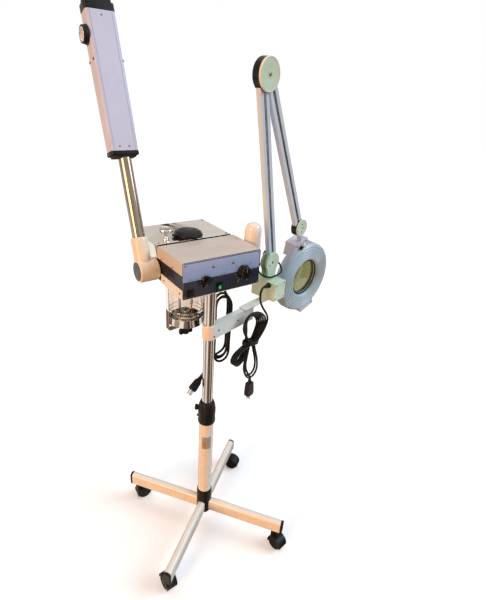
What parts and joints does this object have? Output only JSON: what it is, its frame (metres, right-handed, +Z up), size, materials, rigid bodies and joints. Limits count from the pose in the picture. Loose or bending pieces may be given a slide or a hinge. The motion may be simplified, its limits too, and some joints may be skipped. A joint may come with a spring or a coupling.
{
  "type": "facial steamer",
  "caption": "Rolling facial steamer: control box and boiler on a sliding column, tilting steam arm with a flat head, and a ring lamp on a jointed arm.",
  "frame": {"origin": "on the floor under the middle of the body's bounding box, leads left out", "axes": "+Z up, -Y the way the control panel faces, +X the user's right at the panel"},
  "size_m": [0.893, 0.6212, 1.6982],
  "materials": {
    "hub": "satin",
    "leg": "gloss",
    "caster_hood": "satin",
    "caster_wheels": "satin",
    "outer_column": "gloss",
    "height_clamp": "satin",
    "clamp_knob": "satin",
    "inner_column": "polished",
    "lamp_bracket": "satin",
    "ballast_box": "satin",
    "lamp_cord_grommet": "matte",
    "lead": "satin",
    "lamp_yoke": "satin",
    "arm": "satin powder coat",
    "head_yoke": "satin",
    "head_housing": "satin",
    "diffuser_ring": "ribbed, translucent",
    "lens": "polished",
    "circular_tube": "frosted",
    "control_chassis": "satin",
    "cover": "satin",
    "front_panel": "gloss, navy lower band",
    "knob": "satin",
    "switch_rocker": "gloss, lit",
    "rear_housing": "polished",
    "filler_cap": "satin",
    "relief_valve": "polished",
    "glass_jar": "clear",
    "jar_fitting": "polished",
    "jar_screw": "satin",
    "heater": "satin",
    "elbow": "satin",
    "arm_tube": "polished",
    "head_extrusion": "satin anodised white",
    "head_cap": "satin",
    "nozzle": "satin",
    "side_grip": "gloss",
    "plug": "matte"
  },
  "bodies": {
    "base": {"hub": "hub", "leg_1": "leg", "leg_2": "leg", "leg_3": "leg", "leg_4": "leg", "outer_column": "outer_column", "height_clamp": "height_clamp"},
    "clamp_knob_body": {"clamp_knob": "clamp_knob"},
    "caster_fork_1": {"caster_hood_1": "caster_hood"},
    "caster_roller_1": {"caster_wheels_1": "caster_wheels"},
    "caster_fork_2": {"caster_hood_2": "caster_hood"},
    "caster_roller_2": {"caster_wheels_2": "caster_wheels"},
    "caster_fork_3": {"caster_hood_3": "caster_hood"},
    "caster_roller_3": {"caster_wheels_3": "caster_wheels"},
    "caster_fork_4": {"caster_hood_4": "caster_hood"},
    "caster_roller_4": {"caster_wheels_4": "caster_wheels"},
    "carriage": {"inner_column": "inner_column", "lamp_bracket": "lamp_bracket", "ballast_box": "ballast_box", "lamp_cord_grommet": "lamp_cord_grommet", "lamp_cord": "lead", "lamp_hank": "lead", "lamp_plug": "plug", "control_chassis": "control_chassis", "upper_cover": "cover", "lower_tray": "cover", "front_panel": "front_panel", "side_grip": "side_grip", "rear_housing": "rear_housing", "glass_jar": "glass_jar", "jar_dish": "jar_fitting", "jar_stirrup": "jar_fitting", "heater": "heater", "elbow_base": "elbow", "steamer_strain_relief": "lead", "steamer_cord": "lead", "steamer_hank": "lead", "steamer_tail": "lead", "steamer_plug": "plug"},
    "steam_arm": {"steam_elbow": "elbow", "arm_tube": "arm_tube"},
    "steam_head": {"head_extrusion": "head_extrusion", "head_top_cap": "head_cap", "head_bottom_cap": "head_cap"},
    "nozzle_body": {"nozzle": "nozzle"},
    "filler_cap_body": {"filler_cap": "filler_cap"},
    "relief_valve_body": {"relief_valve": "relief_valve"},
    "jar_screw_body": {"jar_screw": "jar_screw"},
    "timer_knob_body": {"timer_knob": "knob"},
    "steam_knob_body": {"steam_knob": "knob"},
    "rocker_body": {"switch_rocker": "switch_rocker"},
    "lamp_base": {"lamp_yoke": "lamp_yoke", "lamp_arm_cable": "lead"},
    "lamp_lower": {"lower_arm": "arm"},
    "lamp_upper": {"upper_arm": "arm"},
    "lamp_neck": {"head_yoke": "head_yoke"},
    "lamp_head": {"head_housing": "head_housing", "diffuser_ring": "diffuser_ring", "lens": "lens", "circular_tube": "circular_tube"}
  },
  "joints": [
    {"name": "column_lift", "type": "slide", "parent": "base", "child": "carriage", "axis": [0, 0, 1], "range_m": [-0.04, 0.2]},
    {"name": "clamp_knob_turn", "type": "hinge", "parent": "base", "child": "clamp_knob_body", "pos_m": [-0.2168, -0.01372, 0.558], "axis": [-0.7986, 0.6018, 0], "continuous": true},
    {"name": "caster_swivel_1", "type": "hinge", "parent": "base", "child": "caster_fork_1", "pos_m": [-0.01992, -0.26059, 0.06], "axis": [0, 0, 1], "continuous": true},
    {"name": "caster_roll_1", "type": "hinge", "parent": "caster_fork_1", "child": "caster_roller_1", "pos_m": [-0.0171, -0.27836, 0.026], "axis": [0.9877, 0.1564, 0], "continuous": true},
    {"name": "caster_swivel_2", "type": "hinge", "parent": "base", "child": "caster_fork_2", "pos_m": [0.03696, 0.13414, 0.06], "axis": [0, 0, 1], "continuous": true},
    {"name": "caster_roll_2", "type": "hinge", "parent": "caster_fork_2", "child": "caster_roller_2", "pos_m": [0.04703, 0.11922, 0.026], "axis": [0.829, 0.5592, 0], "continuous": true},
    {"name": "caster_swivel_3", "type": "hinge", "parent": "base", "child": "caster_fork_3", "pos_m": [-0.35777, 0.19103, 0.06], "axis": [0, 0, 1], "continuous": true},
    {"name": "caster_roll_3", "type": "hinge", "parent": "caster_fork_3", "child": "caster_roller_3", "pos_m": [-0.3398, 0.19008, 0.026], "axis": [0.0523, 0.9986, 0], "continuous": true},
    {"name": "caster_swivel_4", "type": "hinge", "parent": "base", "child": "caster_fork_4", "pos_m": [-0.41465, -0.2037, 0.06], "axis": [0, 0, 1], "continuous": true},
    {"name": "caster_roll_4", "type": "hinge", "parent": "caster_fork_4", "child": "caster_roller_4", "pos_m": [-0.41497, -0.18571, 0.026], "axis": [-0.9998, -0.0175, 0], "continuous": true},
    {"name": "steam_arm_tilt", "type": "hinge", "parent": "carriage", "child": "steam_arm", "pos_m": [-0.34685, 0.06222, 1.05], "axis": [1, 0, 0], "range_deg": [-15, 110]},
    {"name": "steam_head_turn", "type": "hinge", "parent": "steam_arm", "child": "steam_head", "pos_m": [-0.34685, 0.16957, 1.34933], "axis": [0, 0.3376, 0.9413], "range_deg": [-90, 90]},
    {"name": "nozzle_turn", "type": "hinge", "parent": "steam_head", "child": "nozzle_body", "pos_m": [-0.38685, 0.26477, 1.61478], "axis": [-1, 0, 0], "continuous": true},
    {"name": "filler_cap_turn", "type": "hinge", "parent": "carriage", "child": "filler_cap_body", "pos_m": [-0.19285, 0.09322, 1.1215], "axis": [0, 0, 1], "range_deg": [-90, 0]},
    {"name": "relief_valve_lift", "type": "slide", "parent": "carriage", "child": "relief_valve_body", "axis": [0, 0, 1], "range_m": [0, 0.006]},
    {"name": "jar_screw_turn", "type": "hinge", "parent": "carriage", "child": "jar_screw_body", "pos_m": [-0.18885, 0.11522, 0.79], "axis": [0, 0, 1], "continuous": true},
    {"name": "timer_knob_turn", "type": "hinge", "parent": "carriage", "child": "timer_knob_body", "pos_m": [-0.12385, -0.09728, 1.065], "axis": [0, 1, 0], "range_deg": [0, 300]},
    {"name": "steam_knob_turn", "type": "hinge", "parent": "carriage", "child": "steam_knob_body", "pos_m": [-0.24485, -0.09728, 1.064], "axis": [0, 1, 0], "range_deg": [0, 270]},
    {"name": "rocker_tip", "type": "hinge", "parent": "carriage", "child": "rocker_body", "pos_m": [-0.20085, -0.09578, 1.035], "axis": [1, 0, 0], "range_deg": [-16, 0]},
    {"name": "lamp_swivel", "type": "hinge", "parent": "carriage", "child": "lamp_base", "pos_m": [0.09376, 0.05114, 0.945], "axis": [0, 0, 1], "range_deg": [-20, 90]},
    {"name": "lamp_lower_tilt", "type": "hinge", "parent": "lamp_base", "child": "lamp_lower", "pos_m": [0.09376, 0.05114, 1.003], "axis": [-0.2419, 0.9703, 0], "range_deg": [-12, 5]},
    {"name": "lamp_elbow", "type": "hinge", "parent": "lamp_lower", "child": "lamp_upper", "pos_m": [-0.00036, 0.02768, 1.557], "axis": [-0.2419, 0.9703, 0], "range_deg": [-100, 0]},
    {"name": "lamp_head_tilt", "type": "hinge", "parent": "lamp_upper", "child": "lamp_neck", "pos_m": [0.2461, 0.08912, 1.092], "axis": [-0.2419, 0.9703, 0], "range_deg": [-90, 5]},
    {"name": "lamp_head_roll", "type": "hinge", "parent": "lamp_neck", "child": "lamp_head", "pos_m": [0.26366, 0.0935, 1.03479], "axis": [0.2927, 0.073, -0.9534], "range_deg": [-90, 90]}
  ]
}
